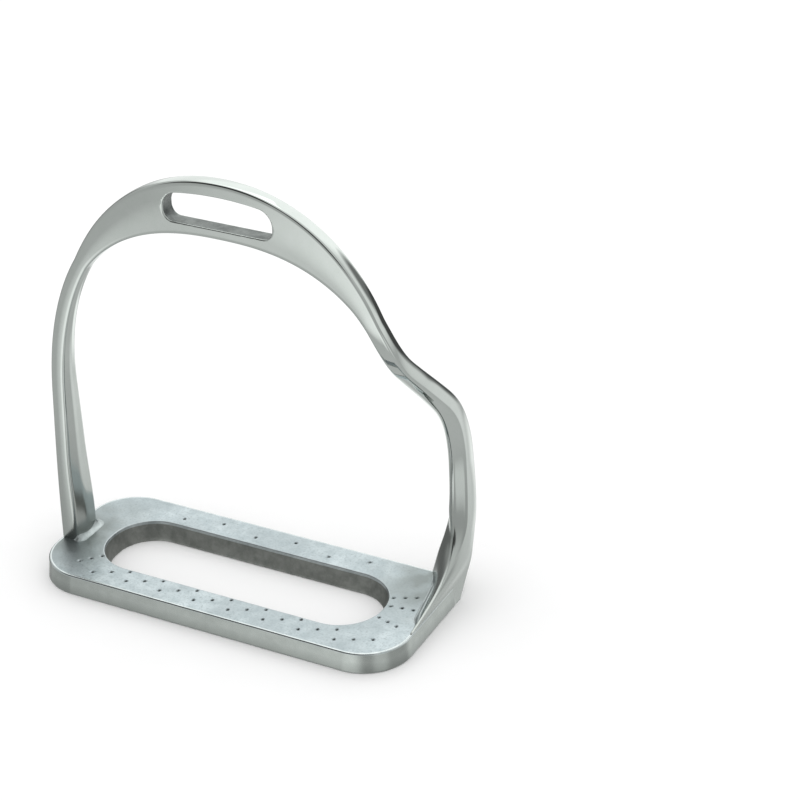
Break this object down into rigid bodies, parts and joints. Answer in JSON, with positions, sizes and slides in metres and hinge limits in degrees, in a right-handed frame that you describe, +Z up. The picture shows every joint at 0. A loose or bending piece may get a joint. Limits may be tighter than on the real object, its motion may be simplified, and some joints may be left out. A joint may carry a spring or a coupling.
{
  "type": "stirrup_iron",
  "caption": "Stainless bent-leg safety stirrup iron: a slim arched bow with a leather eye and a bowed outer leg, on a slotted tread with punched grip pits.",
  "frame": {"origin": "Centre of the tread's slot, on the plane of the tread's underside", "axes": "+Z up from the tread to the leather eye, +X along the tread to the outer, bent leg, +Y the way that leg is bent"},
  "size_m": [0.1342, 0.0714, 0.1473],
  "materials": {
    "polished_steel": "polished",
    "cast_steel": "cast look, with satin walls",
    "weld_steel": "rough, part ground"
  },
  "bodies": {
    "root": {"bow": "polished_steel", "tread": "cast_steel", "inner_leg_weld": "weld_steel", "outer_leg_weld": "weld_steel"}
  },
  "joints": []
}
